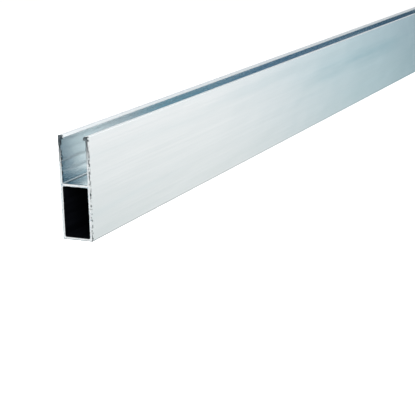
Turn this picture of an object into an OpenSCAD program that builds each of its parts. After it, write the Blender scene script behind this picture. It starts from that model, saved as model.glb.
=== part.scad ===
// Aluminium extrusion profile: one straight bar of constant section, sawn square at both ends.
// A closed rectangular chamber carries an open channel, and each channel wall ends in a hook lip
// that turns inward and down, so that a gasket or an edge strip can snap in beneath it.
//
// The bar runs along X and stands on its base, with the channel open upwards.
// The origin is the middle of the base. Sizes are in millimetres.

/* [Stock] */
// Sawn length of the bar
bar_length = 1000; // [100:10:3000]

/* [Section] */
// Overall width across both side walls
profile_w = 20; // [14:0.5:40]
// Overall height from the base to the rims
profile_h = 63; // [45:0.5:100]
// Thickness of each side wall
wall_t = 1.5; // [1:0.1:2.5]
// Thickness of the base under the chamber
base_t = 1.5; // [1:0.1:3]
// Thickness of the web between the chamber and the channel
web_t = 1.5; // [1:0.1:3]
// Depth of the channel from the rims to the top of the web
channel_depth = 29; // [12:0.5:32]

/* [Hook lips] */
// How far a lip reaches inward from its wall
lip_reach = 1.7; // [1.6:0.1:2.6]
// Thickness of a lip where it leaves the rim
lip_t = 1.2; // [0.8:0.1:2]
// Thickness of the nib that hangs from a lip's edge
nib_t = 1; // [0.6:0.1:1.2]
// Depth of the nib's tip below the rim
nib_drop = 2.5; // [2.4:0.1:5]

/* [Corner radii] */
// Outside corners, along the base and the rims
outer_r = 0.4; // [0.1:0.1:0.9]
// Inside corners of the chamber
chamber_r = 0.9; // [0.2:0.1:2]
// Inside corners at the foot of the channel
channel_r = 0.7; // [0.2:0.1:2]
// Inner edge of each rim, where a gasket is pressed past it
rim_r = 1.5; // [0.2:0.1:1.6]

/* [Finish] */
// Colour of the bare metal
metal_colour = "#ccd6db"; // ["#ccd6db", "#d9d9d9", "#b8bfc4"]

/* [Hidden] */
$fn = 48;

cavity_w = profile_w - 2 * wall_t;
channel_floor_z = profile_h - channel_depth;
chamber_h = channel_floor_z - web_t - base_t;
lip_edge_y = cavity_w / 2 - lip_reach;
nib_r = nib_t / 2;
hook_slot_w = lip_reach - nib_t;
hook_slot_r = hook_slot_w / 2;
// Cutting shapes run this far past the faces that they open
overcut = 1;

// A rectangle on the Y axis with its four corners rounded, standing on the line z = 0
module rounded_cell(w, h, r) {
    translate([-w / 2, r]) square([w, h - 2 * r]);
    translate([-w / 2 + r, 0]) square([w - 2 * r, h]);
    for (side = [-1, 1], z = [r, h - r])
        translate([side * (w / 2 - r), z]) circle(r);
}

// The open channel: its foot has round corners, and its mouth runs out past the rims
module channel_cut() {
    translate([0, channel_floor_z]) {
        rounded_cell(cavity_w, channel_depth, channel_r);
        translate([-cavity_w / 2, channel_r]) square([cavity_w, channel_depth + overcut]);
    }
}

// The hook lip of the wall on the +Y side: a leg along the rim, with a round-tipped nib at its edge
module hook_lip() {
    difference() {
        union() {
            translate([lip_edge_y, profile_h - lip_t]) square([lip_reach + wall_t / 2, lip_t]);
            translate([lip_edge_y, profile_h - nib_drop + nib_r]) square([nib_t, nib_drop - nib_r]);
            translate([lip_edge_y + nib_r, profile_h - nib_drop + nib_r]) circle(nib_r);
            hook_slot_root();
        }
        rim_rounding();
    }
}

// Metal left in the corners of the slot between nib and wall, so that the slot's end is round
module hook_slot_root() {
    slot_y = lip_edge_y + nib_t;
    slot_z = profile_h - lip_t - hook_slot_r;
    difference() {
        translate([slot_y, slot_z]) square([hook_slot_w, hook_slot_r]);
        translate([slot_y + hook_slot_r, slot_z]) circle(hook_slot_r);
    }
}

// The waste outside the rounded inner edge of a rim
module rim_rounding() {
    difference() {
        translate([lip_edge_y - overcut, profile_h - rim_r]) square([rim_r + overcut, rim_r + overcut]);
        translate([lip_edge_y + rim_r, profile_h - rim_r]) circle(rim_r);
    }
}

// The section that the die gives the metal
module section() {
    difference() {
        rounded_cell(profile_w, profile_h, outer_r);
        translate([0, base_t]) rounded_cell(cavity_w, chamber_h, chamber_r);
        channel_cut();
    }
    for (side = [0, 1])
        mirror([side, 0]) hook_lip();
}

// The bar: the section drawn out along X
module profile_bar() {
    color(metal_colour)
        rotate([90, 0, 90])
            linear_extrude(bar_length, center = true)
                section();
}

profile_bar();
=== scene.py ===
# %% [markdown]
# # Aluminium extrusion profile
# One straight bar of extruded aluminium: a closed chamber below, an open channel above, and a
# hook lip along each rim. The solid of the bar is loaded as a fixed frame. This lesson then
# builds the bar's visible skin over it, gives the metal its mill finish and its sawn ends, and
# sets up a small white studio around it.
#
# Everything is in metres, with X along the bar, Y across it and Z up.

# %% Load the frame
import math
from types import SimpleNamespace

import bmesh
import bpy
from mathutils import Matrix, Vector, noise


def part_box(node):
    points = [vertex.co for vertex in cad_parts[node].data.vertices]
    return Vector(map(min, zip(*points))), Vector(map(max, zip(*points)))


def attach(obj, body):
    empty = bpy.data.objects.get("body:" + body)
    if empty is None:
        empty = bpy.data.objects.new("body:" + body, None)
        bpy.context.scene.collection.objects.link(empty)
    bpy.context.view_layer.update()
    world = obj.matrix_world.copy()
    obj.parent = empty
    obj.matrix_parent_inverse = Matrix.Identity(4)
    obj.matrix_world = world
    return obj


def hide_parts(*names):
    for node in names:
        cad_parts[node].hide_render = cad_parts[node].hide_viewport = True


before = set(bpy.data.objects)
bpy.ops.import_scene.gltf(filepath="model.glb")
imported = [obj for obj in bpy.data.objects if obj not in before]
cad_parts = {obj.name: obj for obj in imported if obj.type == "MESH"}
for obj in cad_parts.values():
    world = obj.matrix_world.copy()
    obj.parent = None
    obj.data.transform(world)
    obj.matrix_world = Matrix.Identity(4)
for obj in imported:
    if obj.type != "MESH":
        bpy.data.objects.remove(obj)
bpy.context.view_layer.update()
bar_low, bar_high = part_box("profile_bar")
bar_size = [round(side, 4) for side in bar_high - bar_low]
print("frame: nodes", sorted(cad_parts), "box", bar_size)

# %% [markdown]
# ## The section
# An extrusion is a drawing pulled out into a bar, so the drawing comes first. The overall width
# and height are read from the frame. The walls, the lips and the radii are the die's own sizes. A
# section could be drawn as a curve with a bevel depth, but a mesh outline can be rounded, filled
# and extruded with the same few operators that an editor would use by hand.

# %% Sizes of the section
MM = 0.001
bar_length = bar_high.x - bar_low.x
profile_w = bar_high.y - bar_low.y
profile_h = bar_high.z - bar_low.z
wall_t = 1.5 * MM
base_t = 1.5 * MM
web_t = 1.5 * MM
channel_depth = 29 * MM
lip_reach = 1.7 * MM
lip_t = 1.2 * MM
nib_t = 1.0 * MM
nib_drop = 2.5 * MM
outer_r = 0.4 * MM
chamber_r = 0.9 * MM
channel_r = 0.7 * MM
rim_r = 1.5 * MM

half_w = profile_w / 2
half_cavity = half_w - wall_t
channel_floor_z = profile_h - channel_depth
chamber_top_z = channel_floor_z - web_t
lip_edge_y = half_cavity - lip_reach
nib_back_y = lip_edge_y + nib_t
nib_r = nib_t / 2
slot_r = (lip_reach - nib_t) / 2
print("section", round(profile_w / MM, 2), "by", round(profile_h / MM, 2), "mm")

# %% [markdown]
# The right half of the outline is walked from the middle of the base, up the outside, round the
# hook lip and down into the channel. Each corner is written with the radius that it is rounded
# to. The left half is the same walk mirrored, and the chamber is a loop of its own.

# %% Corners of the two outlines
half_outline = [
    (half_w, 0, outer_r),
    (half_w, profile_h, outer_r),
    (lip_edge_y, profile_h, rim_r),
    (lip_edge_y, profile_h - nib_drop, nib_r),
    (nib_back_y, profile_h - nib_drop, nib_r),
    (nib_back_y, profile_h - lip_t, slot_r),
    (half_cavity, profile_h - lip_t, slot_r),
    (half_cavity, channel_floor_z, channel_r),
]
outside_corners = half_outline + [(-y, z, r) for y, z, r in reversed(half_outline)]
chamber_corners = [(y, z, chamber_r) for y, z in (
    (half_cavity, base_t),
    (half_cavity, chamber_top_z),
    (-half_cavity, chamber_top_z),
    (-half_cavity, base_t),
)]
print("corners", len(outside_corners), "outside,", len(chamber_corners), "in the chamber")

# %% [markdown]
# A vertex bevel rounds a corner: on a right angle its offset is the radius, and a profile of 0.5
# is a true arc. The bevel needs a face to work on, so each loop starts as one face. The nib's two
# corners share an edge as long as both radii together, so their arcs meet in the middle and the
# doubled point there is merged.

# %% Round the corners
ARC_SEGMENTS = 8
MERGE = 0.001 * MM


def rounded_loop(bm, corners):
    """One closed outline in the plane x = 0, with every corner rounded to its own radius."""
    verts = [bm.verts.new((0, y, z)) for y, z, _ in corners]
    bm.faces.new(verts)
    for radius in sorted({r for _, _, r in corners}):
        chosen = [v for v, corner in zip(verts, corners) if corner[2] == radius]
        bmesh.ops.bevel(bm, geom=chosen, offset=radius, offset_type="OFFSET", profile=0.5,
                        segments=ARC_SEGMENTS, affect="VERTICES", material=-1,
                        clamp_overlap=False)


section = bmesh.new()
rounded_loop(section, outside_corners)
rounded_loop(section, chamber_corners)
bmesh.ops.remove_doubles(section, verts=section.verts[:], dist=MERGE)
print("section outline:", len(section.verts), "points in", len(section.faces), "loops")

# %% [markdown]
# Only the outlines are wanted from here on, so the two faces go and their edges stay. The
# straight runs are cut into short steps, because the sawn ends need points close together for
# their ragged edge. Then the space between the two loops is filled: a triangle fill takes the
# inner loop as a hole.

# %% Fill the section
EDGE_STEP = 0.45 * MM
bmesh.ops.delete(section, geom=section.faces[:], context="FACES_ONLY")
for edge in section.edges[:]:
    cuts = math.ceil(edge.calc_length() / EDGE_STEP) - 1
    if cuts > 0:
        bmesh.ops.subdivide_edges(section, edges=[edge], cuts=cuts)
bmesh.ops.triangle_fill(section, use_beauty=True, edges=section.edges[:], normal=(-1, 0, 0))
section_area = sum(face.calc_area() for face in section.faces)
print("filled section:", len(section.verts), "points,", round(section_area / MM ** 2, 1), "mm2")

# %% [markdown]
# ## The bar
# The press pushes the section out in one go, and so does an extrude. The ends get a few rings of
# their own, cut with planes, so that the saw's marks stay close to the cut and the long faces
# stay flat.

# %% Draw the section out
END_RINGS = (0.3 * MM, 0.9 * MM, 3 * MM)
bar = section
drawn = bmesh.ops.extrude_face_region(bar, geom=bar.faces[:])
moved = [item for item in drawn["geom"] if isinstance(item, bmesh.types.BMVert)]
bmesh.ops.translate(bar, verts=moved, vec=(bar_length, 0, 0))
bmesh.ops.translate(bar, verts=bar.verts[:], vec=(bar_low.x, 0, 0))
for depth in END_RINGS:
    for x in (bar_low.x + depth, bar_high.x - depth):
        bmesh.ops.bisect_plane(bar, geom=bar.verts[:] + bar.edges[:] + bar.faces[:], dist=MERGE,
                               plane_co=(x, 0, 0), plane_no=(1, 0, 0))
bmesh.ops.recalc_face_normals(bar, faces=bar.faces[:])
print("bar:", len(bar.faces), "faces, closed:", all(edge.is_manifold for edge in bar.edges))

# %% [markdown]
# ## The sawn ends
# A circular saw leaves a flat face with a torn edge: small chips along the rim, and a burr that
# stands a little proud where the teeth leave the metal. Each end face is inset by a hair, which
# gives the edge a rim of its own. The face inside the rim is set back by the height of the burr,
# so the burr never passes the bar's true length.

# %% Inset the end faces
RIM_INSET = 0.16 * MM
BURR = 0.12 * MM
END_NORMAL = 0.9
end_faces = {}
for side in (-1, 1):
    faces = [f for f in bar.faces if f.normal.x * side > END_NORMAL]
    bmesh.ops.inset_region(bar, faces=faces, thickness=RIM_INSET, use_even_offset=True,
                           use_boundary=True)
    inner = {v for f in faces for v in f.verts}
    bmesh.ops.translate(bar, verts=list(inner), vec=(-side * BURR, 0, 0))
    rim_faces = {f for v in inner for f in v.link_faces}
    end_faces[side] = rim_faces
    print("end", side, len(faces), "faces inside the rim,", len(rim_faces), "with it")

# %% [markdown]
# Noise decides where the edge is torn. Smooth noise with a threshold gives separate chips with
# clean metal between them, and it is the same on every run. A chip takes the edge back along the
# bar and a little into the wall.

# %% Tear the edges
CHIP_SPACING = 2.2 * MM
CHIP_START = 0.18
CHIP_DEPTH = 1.1 * MM
CHIP_BITE = 0.1 * MM
FUZZ_SPACING = 0.5 * MM
NOISE_SHIFT = 7.3
WALL_NORMAL = 0.3

torn = 0
for side, x in ((-1, bar_low.x), (1, bar_high.x)):
    for v in [v for v in bar.verts if abs(v.co.x - x) < MERGE]:
        place = Vector((side * NOISE_SHIFT, v.co.y, v.co.z))
        chip = max(0.0, noise.noise(place / CHIP_SPACING) - CHIP_START)
        fuzz = 0.5 + 0.5 * noise.noise(place / FUZZ_SPACING)
        walls = [f.normal for f in v.link_faces if abs(f.normal.x) < WALL_NORMAL]
        into_wall = -sum(walls, Vector()).normalized() if walls else Vector()
        v.co.x -= side * (fuzz * BURR + chip * CHIP_DEPTH)
        v.co += into_wall * chip * CHIP_BITE
        torn += chip > 0
print("chipped edge points:", torn)

# %% [markdown]
# ## One bar, five surfaces
# The bar is one piece of metal, but its surfaces did not all fare alike. The outside slid over
# rollers and has a soft sheen. Inside the channel only the die touched the metal, so it is
# bright. The tops of the lips are scuffed dull and the ends are sawn. The chamber's walls are
# painted near black, as painted shade. Separate objects would open the mesh, so each face of the
# one mesh is given a material index instead.

# %% Sort the faces and make the object
MILL, CHANNEL, RIM, SAWN, CHAMBER = range(5)
WORN_RIM = 1.5 * MM
SHARP_ANGLE = math.radians(35)


def surface_of(face):
    """The index of the finish that a face of the long sides gets."""
    middle = face.calc_center_median()
    between_walls = abs(middle.y) < half_cavity + MERGE
    if between_walls and base_t - MERGE < middle.z < chamber_top_z + MERGE:
        return CHAMBER
    if abs(middle.y) < half_w - MERGE and middle.z > profile_h - WORN_RIM:
        return RIM
    if between_walls and middle.z > chamber_top_z + MERGE:
        return CHANNEL
    return MILL


sawn_faces = set().union(*end_faces.values())
for face in bar.faces:
    face.smooth = True
    face.material_index = SAWN if face in sawn_faces else surface_of(face)
mesh = bpy.data.meshes.new("profile_bar_skin")
bar.to_mesh(mesh)
bar.free()
mesh.set_sharp_from_angle(angle=SHARP_ANGLE)
skin = bpy.data.objects.new("profile_bar_skin", mesh)
bpy.context.scene.collection.objects.link(skin)
print("skin:", len(mesh.polygons), "faces,", len(mesh.vertices), "points")

# %% [markdown]
# ## Finishes
# Materials are built from nodes in code here. A few small helpers keep that readable: one makes a
# node and fills its inputs, and the others wrap the nodes that are used again and again. Many
# values from here on are pairs, which say where a fade starts and where it is full.

# %% Helpers for nodes


def add_node(tree, kind, links=None, **settings):
    """A new node with its settings, and its inputs linked to sockets or set to values."""
    node = tree.nodes.new(kind)
    for name, value in settings.items():
        setattr(node, name, value)
    for name, value in (links or {}).items():
        if isinstance(value, bpy.types.NodeSocket):
            tree.links.new(value, node.inputs[name])
        else:
            node.inputs[name].default_value = value
    return node


def calculate(tree, operation, first, second=0.0):
    """The result of a Math node on sockets or values."""
    values = {0: first, 1: second}
    return add_node(tree, "ShaderNodeMath", values, operation=operation).outputs[0]


def overlap(tree, *masks):
    """All the masks multiplied: 1 only where every one of them is 1."""
    result = masks[0]
    for mask in masks[1:]:
        result = calculate(tree, "MULTIPLY", result, mask)
    return result


def scale_range(tree, mask, low, high):
    """The mask's 0 to 1 as low to high."""
    values = {"Value": mask, "To Min": low, "To Max": high}
    return add_node(tree, "ShaderNodeMapRange", values).outputs[0]


def fade_between(tree, value, start, end, shape="SMOOTHSTEP"):
    """0 at the start and 1 at the end, with soft ends unless the shape is LINEAR."""
    values = {"Value": value, "From Min": start, "From Max": end}
    return add_node(tree, "ShaderNodeMapRange", values, interpolation_type=shape).outputs[0]


def blend_colours(tree, mask, colour_a, colour_b):
    """Colour a where the mask is 0, colour b where it is 1."""
    node = add_node(tree, "ShaderNodeMix", {"Factor": mask}, data_type="RGBA")
    for name, colour in (("A", colour_a), ("B", colour_b)):
        socket = next(s for s in node.inputs if s.name == name and s.type == "RGBA")
        if isinstance(colour, bpy.types.NodeSocket):
            tree.links.new(colour, socket)
        else:
            socket.default_value = (*colour, 1)
    return next(s for s in node.outputs if s.type == "RGBA")


def start_material(name):
    """A new material with its node tree, its Principled BSDF and its Object coordinates."""
    material = bpy.data.materials.new(name)
    material.use_nodes = True
    tree = material.node_tree
    shader = tree.nodes["Principled BSDF"]
    coords = tree.nodes.new("ShaderNodeTexCoord").outputs["Object"]
    return material, tree, shader, coords


print("node helpers ready")

# %% [markdown]
# Bare aluminium from the press is never one even grey. The die scores fine lines along the whole
# length, some bands come out a little duller than others, and handling adds faint smears. All of
# these are long in X and short across, so one node group makes them: noise on Object coordinates,
# squeezed along the bar. It is used several times, each time with its own width and length.

# %% A node group for lengthwise lines
LINE_LOW, LINE_HIGH = 0.3, 0.7
LINE_DETAIL = 2.0
LINE_INPUTS = {"Line Width": 1 * MM, "Line Length": 0.5, "Shift": 0.0, "Low": LINE_LOW,
               "High": LINE_HIGH}


def make_lengthwise_lines():
    """Noise drawn out along the bar: Mask is 0 to 1, with lines of the given width and length."""
    group = bpy.data.node_groups.new("lengthwise_lines", "ShaderNodeTree")
    group.interface.new_socket("Vector", in_out="INPUT", socket_type="NodeSocketVector")
    for name, value in LINE_INPUTS.items():
        socket = group.interface.new_socket(name, in_out="INPUT", socket_type="NodeSocketFloat")
        socket.default_value = value
    group.interface.new_socket("Mask", in_out="OUTPUT", socket_type="NodeSocketFloat")
    given = group.nodes.new("NodeGroupInput").outputs
    length, width = given["Line Length"], given["Line Width"]
    size = add_node(group, "ShaderNodeCombineXYZ", {"X": length, "Y": width, "Z": width}).outputs[0]
    squeezed = add_node(group, "ShaderNodeVectorMath", {0: given["Vector"], 1: size},
                        operation="DIVIDE").outputs[0]
    shifted = add_node(group, "ShaderNodeVectorMath", {0: squeezed, 1: given["Shift"]},
                       operation="ADD").outputs[0]
    values = {"Vector": shifted, "Scale": 1.0, "Detail": LINE_DETAIL}
    grain = add_node(group, "ShaderNodeTexNoise", values).outputs["Fac"]
    out = group.nodes.new("NodeGroupOutput")
    group.links.new(fade_between(group, grain, given["Low"], given["High"]), out.inputs["Mask"])
    return group


lengthwise_lines = make_lengthwise_lines()


def lines(tree, coords, width, length, shift, low=LINE_LOW, high=LINE_HIGH):
    """The mask of the lengthwise lines, placed in a material."""
    values = {"Vector": coords, "Line Width": width, "Line Length": length, "Shift": shift,
              "Low": low, "High": high}
    return add_node(tree, "ShaderNodeGroup", values, node_tree=lengthwise_lines).outputs["Mask"]


print("group", lengthwise_lines.name, [s.name for s in lengthwise_lines.interface.items_tree])

# %% [markdown]
# Where the saw leaves the metal it tears small burrs, and their shadows are painted as dark
# specks. They sit on the edge, so they belong to the sawn face and to the long face beside it. A
# second group gives both materials the same painted specks in the same places.

# %% A node group for painted burr shadows
# Painted shadows of the burrs: dark specks along the cut edges.
BURR_SHADOW_SPACING = 1.8 * MM
BURR_SHADOW_DETAIL = 1.0
BURR_SHADOW_RANGE = (0.45, 0.56)


def make_burr_shadow_specks():
    """Painted burr shadows: Mask is 0 to 1, with specks about one Spacing apart."""
    group = bpy.data.node_groups.new("burr_shadow_specks", "ShaderNodeTree")
    group.interface.new_socket("Vector", in_out="INPUT", socket_type="NodeSocketVector")
    spacing = group.interface.new_socket("Spacing", in_out="INPUT", socket_type="NodeSocketFloat")
    spacing.default_value = BURR_SHADOW_SPACING
    group.interface.new_socket("Mask", in_out="OUTPUT", socket_type="NodeSocketFloat")
    given = group.nodes.new("NodeGroupInput").outputs
    scale = calculate(group, "DIVIDE", 1.0, given["Spacing"])
    values = {"Vector": given["Vector"], "Scale": scale, "Detail": BURR_SHADOW_DETAIL}
    grain = add_node(group, "ShaderNodeTexNoise", values).outputs["Fac"]
    out = group.nodes.new("NodeGroupOutput")
    group.links.new(fade_between(group, grain, *BURR_SHADOW_RANGE), out.inputs["Mask"])
    return group


burr_shadow_specks = make_burr_shadow_specks()


def specks(tree, coords):
    """The mask of the painted burr shadows, placed in a material."""
    values = {"Vector": coords, "Spacing": BURR_SHADOW_SPACING}
    return add_node(tree, "ShaderNodeGroup", values, node_tree=burr_shadow_specks).outputs["Mask"]


print("group", burr_shadow_specks.name, [s.name for s in burr_shadow_specks.interface.items_tree])

# %% [markdown]
# Some places on the bar are marked. The near side has a streaky smear round the middle of the
# bar, and a dark line along the foot is painted contact shade. A mark is a mask and a colour. The
# masks could be painted by hand, but a few fades over the distance from the middle, the way
# across and the height place them exactly.

# %% Smear and painted shade on the outside
# Painted shade: one dark colour for the foot line, the channel's corner line and the burr shadows.
PAINTED_SHADE = (0.10, 0.12, 0.13)
CONTACT_SHADE_HEIGHT = (0.8 * MM, 0.24 * MM)
CONTACT_SHADE_SHARE = 0.75
MIDDLE_SMEAR = (0.72, 0.82, 0.85)
MIDDLE_SMEAR_Z = 42 * MM
MIDDLE_SMEAR_HEIGHT = (12 * MM, 2 * MM)
MIDDLE_SMEAR_LENGTH = (0.20, 0.06)
MIDDLE_SMEAR_STREAKS = dict(width=5 * MM, length=0.09, shift=1.7)
MIDDLE_SMEAR_STREAK_SHARE = (0.45, 1.0)


def foot_contact_shade(tree, place):
    """Painted contact shade: a dark line along the foot of the side walls."""
    foot_shade_mask = fade_between(tree, place.height, *CONTACT_SHADE_HEIGHT)
    return scale_range(tree, foot_shade_mask, 0.0, CONTACT_SHADE_SHARE)


def middle_smear(tree, place):
    """A streaky smear on the near side, round the middle of the bar."""
    above_line = calculate(tree, "SUBTRACT", place.height, MIDDLE_SMEAR_Z)
    off_line = calculate(tree, "ABSOLUTE", above_line)
    in_height = fade_between(tree, off_line, *MIDDLE_SMEAR_HEIGHT)
    in_length = fade_between(tree, place.from_middle, *MIDDLE_SMEAR_LENGTH)
    near_side = fade_between(tree, place.across, 0.0, bar_low.y)
    streaks = scale_range(tree, lines(tree, place.coords, **MIDDLE_SMEAR_STREAKS), *MIDDLE_SMEAR_STREAK_SHARE)
    return overlap(tree, in_height, in_length, near_side, streaks)


print("stains on the outside:", foot_contact_shade.__name__, middle_smear.__name__)

# %% [markdown]
# In the channel the floor's far corner gets a line of painted shade, and near both cuts the floor
# gets a bluish painted shade. Both shades grow towards the far wall, so they share one fade
# across the floor.

# %% Painted shade in the channel
# Painted shade on the channel's floor, at the far corner and near the cuts.
FLOOR_SHADE_TOP = 0.1 * MM
CORNER_SHADE_WIDTH = (3.2 * MM, 1.4 * MM)
CORNER_SHADE_SHARE = 0.95
# Painted shade: a bluish dark colour for the channel's floor near both cuts.
CHANNEL_END_SHADE = (0.08, 0.28, 0.38)
CHANNEL_END_SHADE_LENGTH = (75 * MM, 30 * MM)
CHANNEL_END_SHADE_WIDTH = (13 * MM, 1 * MM)
CHANNEL_END_SHADE_SHARE = 0.9


def towards_cut(tree, place, start, full):
    """0 at the start's distance from the nearer cut, 1 at the full distance and closer."""
    return fade_between(tree, place.from_middle, bar_high.x - start, bar_high.x - full)


def towards_far_wall(tree, place, start, full):
    """On the channel's floor: 0 at the start's distance from the far wall, 1 at the full one."""
    to_wall = fade_between(tree, place.across, half_cavity - start, half_cavity - full, "LINEAR")
    shade_top = channel_floor_z + FLOOR_SHADE_TOP
    on_floor = fade_between(tree, place.height, shade_top, channel_floor_z)
    return overlap(tree, to_wall, on_floor)


def corner_shade(tree, place):
    """Painted shade on the channel's floor, thickest just short of the far wall's round corner."""
    corner_shade_mask = towards_far_wall(tree, place, *CORNER_SHADE_WIDTH)
    return scale_range(tree, corner_shade_mask, 0.0, CORNER_SHADE_SHARE)


def channel_end_shade(tree, place):
    """Bluish painted shade on the channel's floor near both cuts."""
    end_shade_mask = overlap(tree, towards_cut(tree, place, *CHANNEL_END_SHADE_LENGTH),
                   towards_far_wall(tree, place, *CHANNEL_END_SHADE_WIDTH))
    return scale_range(tree, end_shade_mask, 0.0, CHANNEL_END_SHADE_SHARE)


print("stains in the channel:", corner_shade.__name__, channel_end_shade.__name__)

# %% [markdown]
# The outside, the channel and the rims are the same metal with different wear, so one function
# makes all three. Fine scratches and a few long smears are slightly darker metal. The smears and
# the bands also change the roughness, which shows where the metal mirrors an edge between light
# and dark. Bands, slow waves and fine die lines are relief, so they go to a bump, with heights in
# metres. The die drags every scratch along X, so the metal spreads light across the bar and
# hardly along it. That is what anisotropy does: a radial tangent about X runs round the section,
# across the lines.
#
# The rims are scuffed so much that they mirror little, and a lower Metallic gives them a dull,
# pale face.

# %% Outside, channel and rims
METAL = (0.932, 0.950, 0.958)
SCORED_METAL = (0.906, 0.930, 0.939)
SMEARED_METAL = (0.87, 0.912, 0.925)
BANDS = dict(width=9 * MM, length=0.8, shift=3.1)
SMEARS = dict(width=13 * MM, length=0.3, shift=21.4, low=0.52, high=0.8)
SCRATCHES = dict(width=1.4 * MM, length=0.12, shift=6.7)
SLOW_WAVES = dict(width=28 * MM, length=0.1, shift=2.3, low=0.25, high=0.75)
DIE_LINES = dict(width=0.5 * MM, length=0.6, shift=5.3)
BAND_HEIGHT = 0.004 * MM
BURR_SHADOW_REACH = (2.0 * MM, 1.0 * MM)
OUTSIDE = dict(roughness=(0.14, 0.18), smear=0.02, marks=1.0, across=0.7, waves=0.1 * MM,
               scores=0.0016 * MM, metallic=1.0)
INSIDE = dict(roughness=(0.04, 0.05), smear=0.0, marks=0.15, across=1.0, waves=0.0,
              scores=0.0018 * MM, metallic=1.0)
WORN = dict(roughness=(0.45, 0.55), smear=0.05, marks=1.0, across=0.0, waves=0.0,
            scores=0.0016 * MM, metallic=0.35)


def make_extruded_finish(name, stains_and_shades, roughness, smear, marks, across, waves, scores, metallic):
    """Metal as the die left it, with painted burr shadows near both cuts and the given smears and
    shades.

    The roughness runs from low to high over the bands, and smear is what the smears add to it.
    Marks is the share of the scratches and smears in the colour. Across is the anisotropy. Waves
    and scores are the heights of the slow waves and of the die lines.
    """
    material, tree, shader, coords = start_material(name)
    x, y, z = add_node(tree, "ShaderNodeSeparateXYZ", {0: coords}).outputs
    from_middle = calculate(tree, "ABSOLUTE", x)
    place = SimpleNamespace(coords=coords, from_middle=from_middle, across=y, height=z)
    bands = lines(tree, coords, **BANDS)
    smears = lines(tree, coords, **SMEARS)

    scratches = scale_range(tree, lines(tree, coords, **SCRATCHES), 0.0, marks)
    colour = blend_colours(tree, scratches, METAL, SCORED_METAL)
    colour = blend_colours(tree, scale_range(tree, smears, 0.0, marks), colour, SMEARED_METAL)
    for stain_and_shade, stain_and_shade_colour in stains_and_shades:
        colour = blend_colours(tree, stain_and_shade(tree, place), colour, stain_and_shade_colour)
    burr_shadows = overlap(tree, towards_cut(tree, place, *BURR_SHADOW_REACH), specks(tree, coords))
    tree.links.new(blend_colours(tree, burr_shadows, colour, PAINTED_SHADE), shader.inputs["Base Color"])
    shader.inputs["Metallic"].default_value = metallic

    rough = calculate(tree, "ADD", scale_range(tree, bands, *roughness),
                      scale_range(tree, smears, 0.0, smear))
    tree.links.new(rough, shader.inputs["Roughness"])
    shader.inputs["Anisotropic"].default_value = across
    tangent = add_node(tree, "ShaderNodeTangent", direction_type="RADIAL", axis="X").outputs[0]
    tree.links.new(tangent, shader.inputs["Tangent"])

    relief = scale_range(tree, bands, 0.0, BAND_HEIGHT)
    for pattern, height in ((DIE_LINES, scores), (SLOW_WAVES, waves)):
        added = scale_range(tree, lines(tree, coords, **pattern), 0.0, height)
        relief = calculate(tree, "ADD", relief, added)
    bump = add_node(tree, "ShaderNodeBump", {"Height": relief, "Strength": 1.0, "Distance": 1.0})
    tree.links.new(bump.outputs[0], shader.inputs["Normal"])
    return material


# The foot line here and both marks in the channel are painted shade.
outside_smear_and_shade = [(middle_smear, MIDDLE_SMEAR), (foot_contact_shade, PAINTED_SHADE)]
channel_shades = [(channel_end_shade, CHANNEL_END_SHADE), (corner_shade, PAINTED_SHADE)]
mill_finish = make_extruded_finish("mill_finish", outside_smear_and_shade, **OUTSIDE)
channel_finish = make_extruded_finish("channel_finish", channel_shades, **INSIDE)
rim_finish = make_extruded_finish("rim_finish", [], **WORN)
print("materials", mill_finish.name, channel_finish.name, rim_finish.name)

# %% [markdown]
# The sawn face is fresh metal, so it is paler than the sides. The blade leaves shallow arcs round
# its own axle, which lies well outside the bar: a ring wave about that point gives them. The cut
# is painted darker towards the rims, most of it on the far wall, as painted shade. It is also
# painted a little dark along the foot, as shade near the floor, and specked with painted burr
# shadows on the side where the teeth came out.

# %% Sawn ends
BLADE_CENTRE = (0, 0.09, -0.11)
TOOTH_STEP = 0.7 * MM
RING_AT_SCALE_1 = 0.314  # metres from ring to ring of a wave texture at Scale 1
ARCS = {"Scale": RING_AT_SCALE_1 / TOOTH_STEP, "Distortion": 1.5, "Detail": 2.0}
PATCHES = {"Scale": 350.0, "Detail": 3.0}
PATCH_RANGE = (0.7, 1.3)
# Painted shade on the cut: darker towards the rims and along the foot, and in burr shadows.
CUT_RIM_SHADE_Z = (40 * MM, 62 * MM)
CUT_RIM_SHADE_TILT = 0.25
CUT_FOOT_SHADE_Z = (1.1 * MM, 0.0)
CUT_FOOT_SHADE_SHARE = 0.5
EDGE_BURR_SHADOW_Y = (-9.5 * MM, -9.9 * MM)
CUT_METAL = (0.97, 0.98, 0.98)
CUT_SHADE = (0.085, 0.105, 0.115)
CUT_ROUGH = (0.14, 0.24)
CUT_BUMP = {"Strength": 0.4, "Distance": 0.05 * MM}


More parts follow.
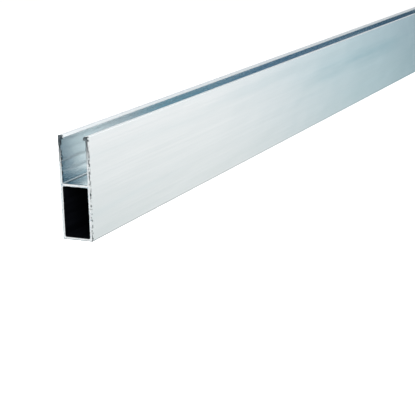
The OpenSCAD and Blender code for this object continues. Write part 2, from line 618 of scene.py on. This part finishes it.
def make_sawn_finish():
    """Freshly cut metal with the blade's arcs, painted shade towards the rims and the foot, and
    painted burr shadows.
    """
    material, tree, shader, coords = start_material("sawn_end")
    shift = {"Vector": coords, "Location": [-c for c in BLADE_CENTRE]}
    from_blade = add_node(tree, "ShaderNodeMapping", shift).outputs[0]
    arcs = add_node(tree, "ShaderNodeTexWave", {"Vector": from_blade, **ARCS}, wave_type="RINGS",
                    rings_direction="X").outputs["Fac"]
    patches = add_node(tree, "ShaderNodeTexNoise", {"Vector": coords, **PATCHES}).outputs["Fac"]

    _, y, z = add_node(tree, "ShaderNodeSeparateXYZ", {0: coords}).outputs
    tilted = calculate(tree, "ADD", z, calculate(tree, "MULTIPLY", y, CUT_RIM_SHADE_TILT))
    rim_shade_mask = overlap(tree, fade_between(tree, tilted, *CUT_RIM_SHADE_Z),
                      scale_range(tree, patches, *PATCH_RANGE))
    foot_shade_mask = scale_range(tree, fade_between(tree, z, *CUT_FOOT_SHADE_Z), 0.0, CUT_FOOT_SHADE_SHARE)
    burr_shadows = overlap(tree, fade_between(tree, y, *EDGE_BURR_SHADOW_Y), specks(tree, coords))
    cut_shade_mask = calculate(tree, "MAXIMUM", calculate(tree, "MAXIMUM", rim_shade_mask, foot_shade_mask), burr_shadows)

    tree.links.new(blend_colours(tree, cut_shade_mask, CUT_METAL, CUT_SHADE), shader.inputs["Base Color"])
    shader.inputs["Metallic"].default_value = 1.0
    tree.links.new(scale_range(tree, arcs, *CUT_ROUGH), shader.inputs["Roughness"])
    bump = add_node(tree, "ShaderNodeBump", {"Height": arcs, **CUT_BUMP})
    tree.links.new(bump.outputs[0], shader.inputs["Normal"])
    return material


sawn_end = make_sawn_finish()
print("material", sawn_end.name, len(sawn_end.node_tree.nodes), "nodes")

# %% [markdown]
# The chamber's walls are bare metal like the rest, but hardly any light gets out of the closed
# hollow, so its shade is painted: a dull, low base colour with lengthwise streaks keeps them black
# but not empty.

# %% Chamber walls
# Painted shade: near-black colours stand in for the little light inside the closed chamber.
CHAMBER_SHADE_DARK = (0.0012, 0.0016, 0.0026)
CHAMBER_SHADE_PALE = (0.004, 0.0046, 0.0065)
CHAMBER_SHADE_STREAKS = dict(width=2.5 * MM, length=0.2, shift=8.9)
CHAMBER_SHADE_METALLIC = 0.3
CHAMBER_SHADE_SPECULAR = 0.1
CHAMBER_SHADE_ROUGH = (0.75, 0.9)
CHAMBER_SHADE_BUMP = {"Strength": 0.3, "Distance": 0.05 * MM}


def make_chamber_shade():
    """Painted shade for the chamber, in lengthwise streaks."""
    material, tree, shader, coords = start_material("chamber_shade")
    streaks = lines(tree, coords, **CHAMBER_SHADE_STREAKS)
    colour = blend_colours(tree, streaks, CHAMBER_SHADE_DARK, CHAMBER_SHADE_PALE)
    tree.links.new(colour, shader.inputs["Base Color"])
    shader.inputs["Metallic"].default_value = CHAMBER_SHADE_METALLIC
    shader.inputs["Specular IOR Level"].default_value = CHAMBER_SHADE_SPECULAR
    tree.links.new(scale_range(tree, streaks, *CHAMBER_SHADE_ROUGH), shader.inputs["Roughness"])
    bump = add_node(tree, "ShaderNodeBump", {"Height": streaks, **CHAMBER_SHADE_BUMP})
    tree.links.new(bump.outputs[0], shader.inputs["Normal"])
    return material


chamber_shade = make_chamber_shade()
print("material", chamber_shade.name, len(chamber_shade.node_tree.nodes), "nodes")

# %% [markdown]
# The materials go on in the order of the face indices. The skin then stands for the frame's bar
# and rides on its one body.

# %% Put the finishes on the bar
for material in (mill_finish, channel_finish, rim_finish, sawn_end, chamber_shade):
    skin.data.materials.append(material)
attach(skin, "root")
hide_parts("profile_bar")
print("finishes on the bar:", [m.name for m in skin.data.materials])

# %% [markdown]
# ## The studio
# The bar stands on white paper. The camera sees the paper brighter than other rays do, which
# turns it white on the picture without more light on the bar, and the bar's shadow stays. Far
# off, where the lamp hardly reaches, the camera sees plain white, a hair over 1 so that no tint
# is left in it. Mirror rays pass the paper by: what the metal mirrors is the room, and that is
# painted on the sky below.

# %% Floor
FLOOR_SIZE = 30
FLOOR_GREY = 0.8
FLOOR_SEEN = 2.0
FLOOR_FADE = (0.7, 1.2)
FAR_WHITE = 1.06


def make_floor():
    """A flat sheet of white paper under the bar."""
    bm = bmesh.new()
    bmesh.ops.create_grid(bm, x_segments=1, y_segments=1, size=FLOOR_SIZE / 2)
    floor_mesh = bpy.data.meshes.new("studio_floor")
    bm.to_mesh(floor_mesh)
    bm.free()
    floor = bpy.data.objects.new("studio_floor", floor_mesh)
    bpy.context.scene.collection.objects.link(floor)
    material, tree, shader, coords = start_material("white_paper")
    tree.nodes.remove(shader)
    seen = tree.nodes.new("ShaderNodeLightPath").outputs["Is Camera Ray"]
    paper_colour = scale_range(tree, seen, FLOOR_GREY, FLOOR_SEEN)
    paper = add_node(tree, "ShaderNodeBsdfDiffuse", {"Color": paper_colour})
    white = add_node(tree, "ShaderNodeEmission", {"Strength": FAR_WHITE})
    length = add_node(tree, "ShaderNodeVectorMath", {0: coords}, operation="LENGTH")
    far_off = overlap(tree, fade_between(tree, length.outputs["Value"], *FLOOR_FADE), seen)
    surfaces = {0: far_off, 1: paper.outputs[0], 2: white.outputs[0]}
    mixed = add_node(tree, "ShaderNodeMixShader", surfaces)
    tree.links.new(mixed.outputs[0], tree.nodes["Material Output"].inputs["Surface"])
    floor_mesh.materials.append(material)
    floor.visible_glossy = False
    return floor


studio_floor = make_floor()
print(studio_floor.name, FLOOR_SIZE, "m wide")

# %% [markdown]
# White metal in a white room has no shape, so a photographer keeps parts of the room dark. A long
# flat face mirrors one narrow cone of the room about the bar's own line: wide and white where the
# bar is near the camera, and narrow and dark where it runs away. The colour of the room is
# therefore a ramp over the angle from the bar's line, in degrees: one ramp below the horizon and
# one above it. Above it a bright window stands beside a dark ring, and the two make the inside of
# the channel light at one end and dark at the other. Very narrow and very wide angles are
# mirrored only in other views, and there the room goes to a plain light grey.

# %% Colours of the room
WHITE = (1.0, 1.0, 1.0)
WINDOW = (1.45, 1.50, 1.46)
DARK_RING = (0.0, 0.12, 0.20)
LOW_ROOM = (
    (6, (0.55, 0.60, 0.63)),
    (13, (0.30, 0.40, 0.46)),
    (16, (0.30, 0.40, 0.46)),
    (20, (0.57, 0.71, 0.76)),
    (24, (0.87, 0.905, 0.925)),
    (27, WHITE),
    (30, WHITE),
    (46, (0.80, 0.83, 0.84)),
    (62, (0.60, 0.63, 0.65)),
    (90, (0.50, 0.53, 0.55)),
)
HIGH_ROOM = (
    (6, (0.42, 0.48, 0.52)),
    (13, (0.068, 0.125, 0.18)),
    (17, (0.068, 0.125, 0.18)),
    (24, (0.122, 0.262, 0.40)),
    (29.2, (0.25, 0.54, 0.65)),
    (31.0, WHITE),
    (32.4, WINDOW),
    (33.1, WINDOW),
    (34.1, DARK_RING),
    (37, DARK_RING),
    (39, WHITE),
    (55, WHITE),
    (90, (0.75, 0.78, 0.80)),
)
print("ramps with", len(LOW_ROOM), "and", len(HIGH_ROOM), "stops")

# %% [markdown]
# Some things are added to the ramps. The floor is darker towards the foot of the bar. A grey
# ceiling hangs over the room, with a soft box at its front that draws the bright line in the
# corner of the channel. A skylight overhead lights the channel when it is seen from above.

# %% Paint the room
HORIZON = (-0.06, 0.0)
FOOT_SLOPE = (0.34, 0.62)
FOOT_SHADE = 0.32
FOOT_COLOUR = (0.0, 0.14, 0.12)
CEILING = (0.25, 0.33, 0.38)
CEILING_FROM = (0.37, 0.43)
SOFT_BOX = (0.58, 0.66, 0.70)
SOFT_BOX_FRONT = (0.03, -0.03)
SOFT_BOX_TOP = (0.60, 0.54)
SKYLIGHT = (0.80, 0.83, 0.85)
SKYLIGHT_FROM = (0.58, 0.72)


def ramp_over_angle(tree, angle, stops):
    """A colour ramp over an angle in radians, with its stops in degrees."""
    low, high = stops[0][0], stops[-1][0]
    share = fade_between(tree, angle, math.radians(low), math.radians(high), "LINEAR")
    ramp = add_node(tree, "ShaderNodeValToRGB", {"Fac": share})
    elements = ramp.color_ramp.elements
    elements.remove(elements[0])
    elements[0].position, elements[0].color = 1.0, (*stops[-1][1], 1)
    for degrees, colour in stops[:-1]:
        elements.new((degrees - low) / (high - low)).color = (*colour, 1)
    return ramp.outputs["Color"]


def paint_room(tree):
    """The colour of the room in every direction."""
    direction = tree.nodes.new("ShaderNodeTexCoord").outputs["Generated"]
    along, across, up = add_node(tree, "ShaderNodeSeparateXYZ", {0: direction}).outputs
    angle = calculate(tree, "ARCCOSINE", calculate(tree, "ABSOLUTE", along))
    low, high = (ramp_over_angle(tree, angle, stops) for stops in (LOW_ROOM, HIGH_ROOM))
    near_foot = fade_between(tree, calculate(tree, "DIVIDE", up, across), *FOOT_SLOPE, "LINEAR")
    low = blend_colours(tree, scale_range(tree, near_foot, 0.0, FOOT_SHADE), low, FOOT_COLOUR)
    in_box = overlap(tree, fade_between(tree, across, *SOFT_BOX_FRONT),
                     fade_between(tree, up, *SOFT_BOX_TOP))
    ceiling = blend_colours(tree, in_box, CEILING, SOFT_BOX)
    ceiling = blend_colours(tree, fade_between(tree, up, *SKYLIGHT_FROM), ceiling, SKYLIGHT)
    high = blend_colours(tree, fade_between(tree, up, *CEILING_FROM), high, ceiling)
    return blend_colours(tree, fade_between(tree, up, *HORIZON), low, high)


print("room: floor below", HORIZON, "ceiling from", CEILING_FROM)

# %% [markdown]
# Only mirror rays see those colours. The camera sees plain white, and an even, dimmer white falls
# on the bar and the floor from all sides. A soft lamp in front of the near end adds the rest, up
# to a plain level at which white paper is about white. The lamp stands low, so the rounded edge
# of the far rim shines, and the shadow falls behind the bar.

# %% Sky and lamp
SKY_LIGHT = 0.45
LAMP_PLACE = Vector((-1.3, -0.6, 0.6))
LAMP_SIZE = 0.9
LAMP_POWER = 19

world = bpy.data.worlds.new("studio_sky")
bpy.context.scene.world = world
world.use_nodes = True
sky = world.node_tree
rays = sky.nodes.new("ShaderNodeLightPath").outputs
seen = calculate(sky, "MAXIMUM", rays["Is Camera Ray"], rays["Is Transmission Ray"])
plain = blend_colours(sky, seen, (SKY_LIGHT, SKY_LIGHT, SKY_LIGHT), WHITE)
sky_colour = blend_colours(sky, rays["Is Glossy Ray"], plain, paint_room(sky))
sky.links.new(sky_colour, sky.nodes["Background"].inputs["Color"])

lamp_data = bpy.data.lights.new("soft_lamp", "AREA")
lamp_data.size = LAMP_SIZE
lamp_data.energy = LAMP_POWER
lamp = bpy.data.objects.new("soft_lamp", lamp_data)
lamp.location = LAMP_PLACE
lamp.visible_glossy = False
lamp.rotation_euler = (-LAMP_PLACE).to_track_quat("-Z", "Y").to_euler()
bpy.context.scene.collection.objects.link(lamp)
print("sky", SKY_LIGHT, "lamp", LAMP_POWER, "W")

# %% [markdown]
# ## The camera
# The view is the photograph's: a long lens, from the near end's side, looking down by about
# fifteen degrees and tipped a little. Light bounces many times between the walls of the channel
# before it comes out, so the bounces are raised as well.

# %% Camera
VIEW_YAW = math.radians(25.292)
VIEW_DOWN = math.radians(14.699)
VIEW_ROLL = math.radians(-1.508)
VIEW_FROM = Vector((-1.10137, -0.36954, 0.20215))
LENS_MM = 106.965
SENSOR_MM = 36
BOUNCES = 16

level_share = math.cos(VIEW_DOWN)
forward = Vector((level_share * math.cos(VIEW_YAW), level_share * math.sin(VIEW_YAW),
                  -math.sin(VIEW_DOWN)))
camera_data = bpy.data.cameras.new("photo_camera")
camera_data.lens = LENS_MM
camera_data.sensor_width = SENSOR_MM
camera = bpy.data.objects.new("photo_camera", camera_data)
camera.location = VIEW_FROM
level = forward.to_track_quat("-Z", "Y").to_matrix()
camera.rotation_euler = (level @ Matrix.Rotation(VIEW_ROLL, 3, "Z")).to_euler()
bpy.context.scene.collection.objects.link(camera)
bpy.context.scene.camera = camera
bpy.context.scene.view_settings.view_transform = "Standard"
bpy.context.scene.cycles.max_bounces = BOUNCES
bpy.context.scene.cycles.glossy_bounces = BOUNCES
print("camera at", [round(c, 3) for c in camera.location])
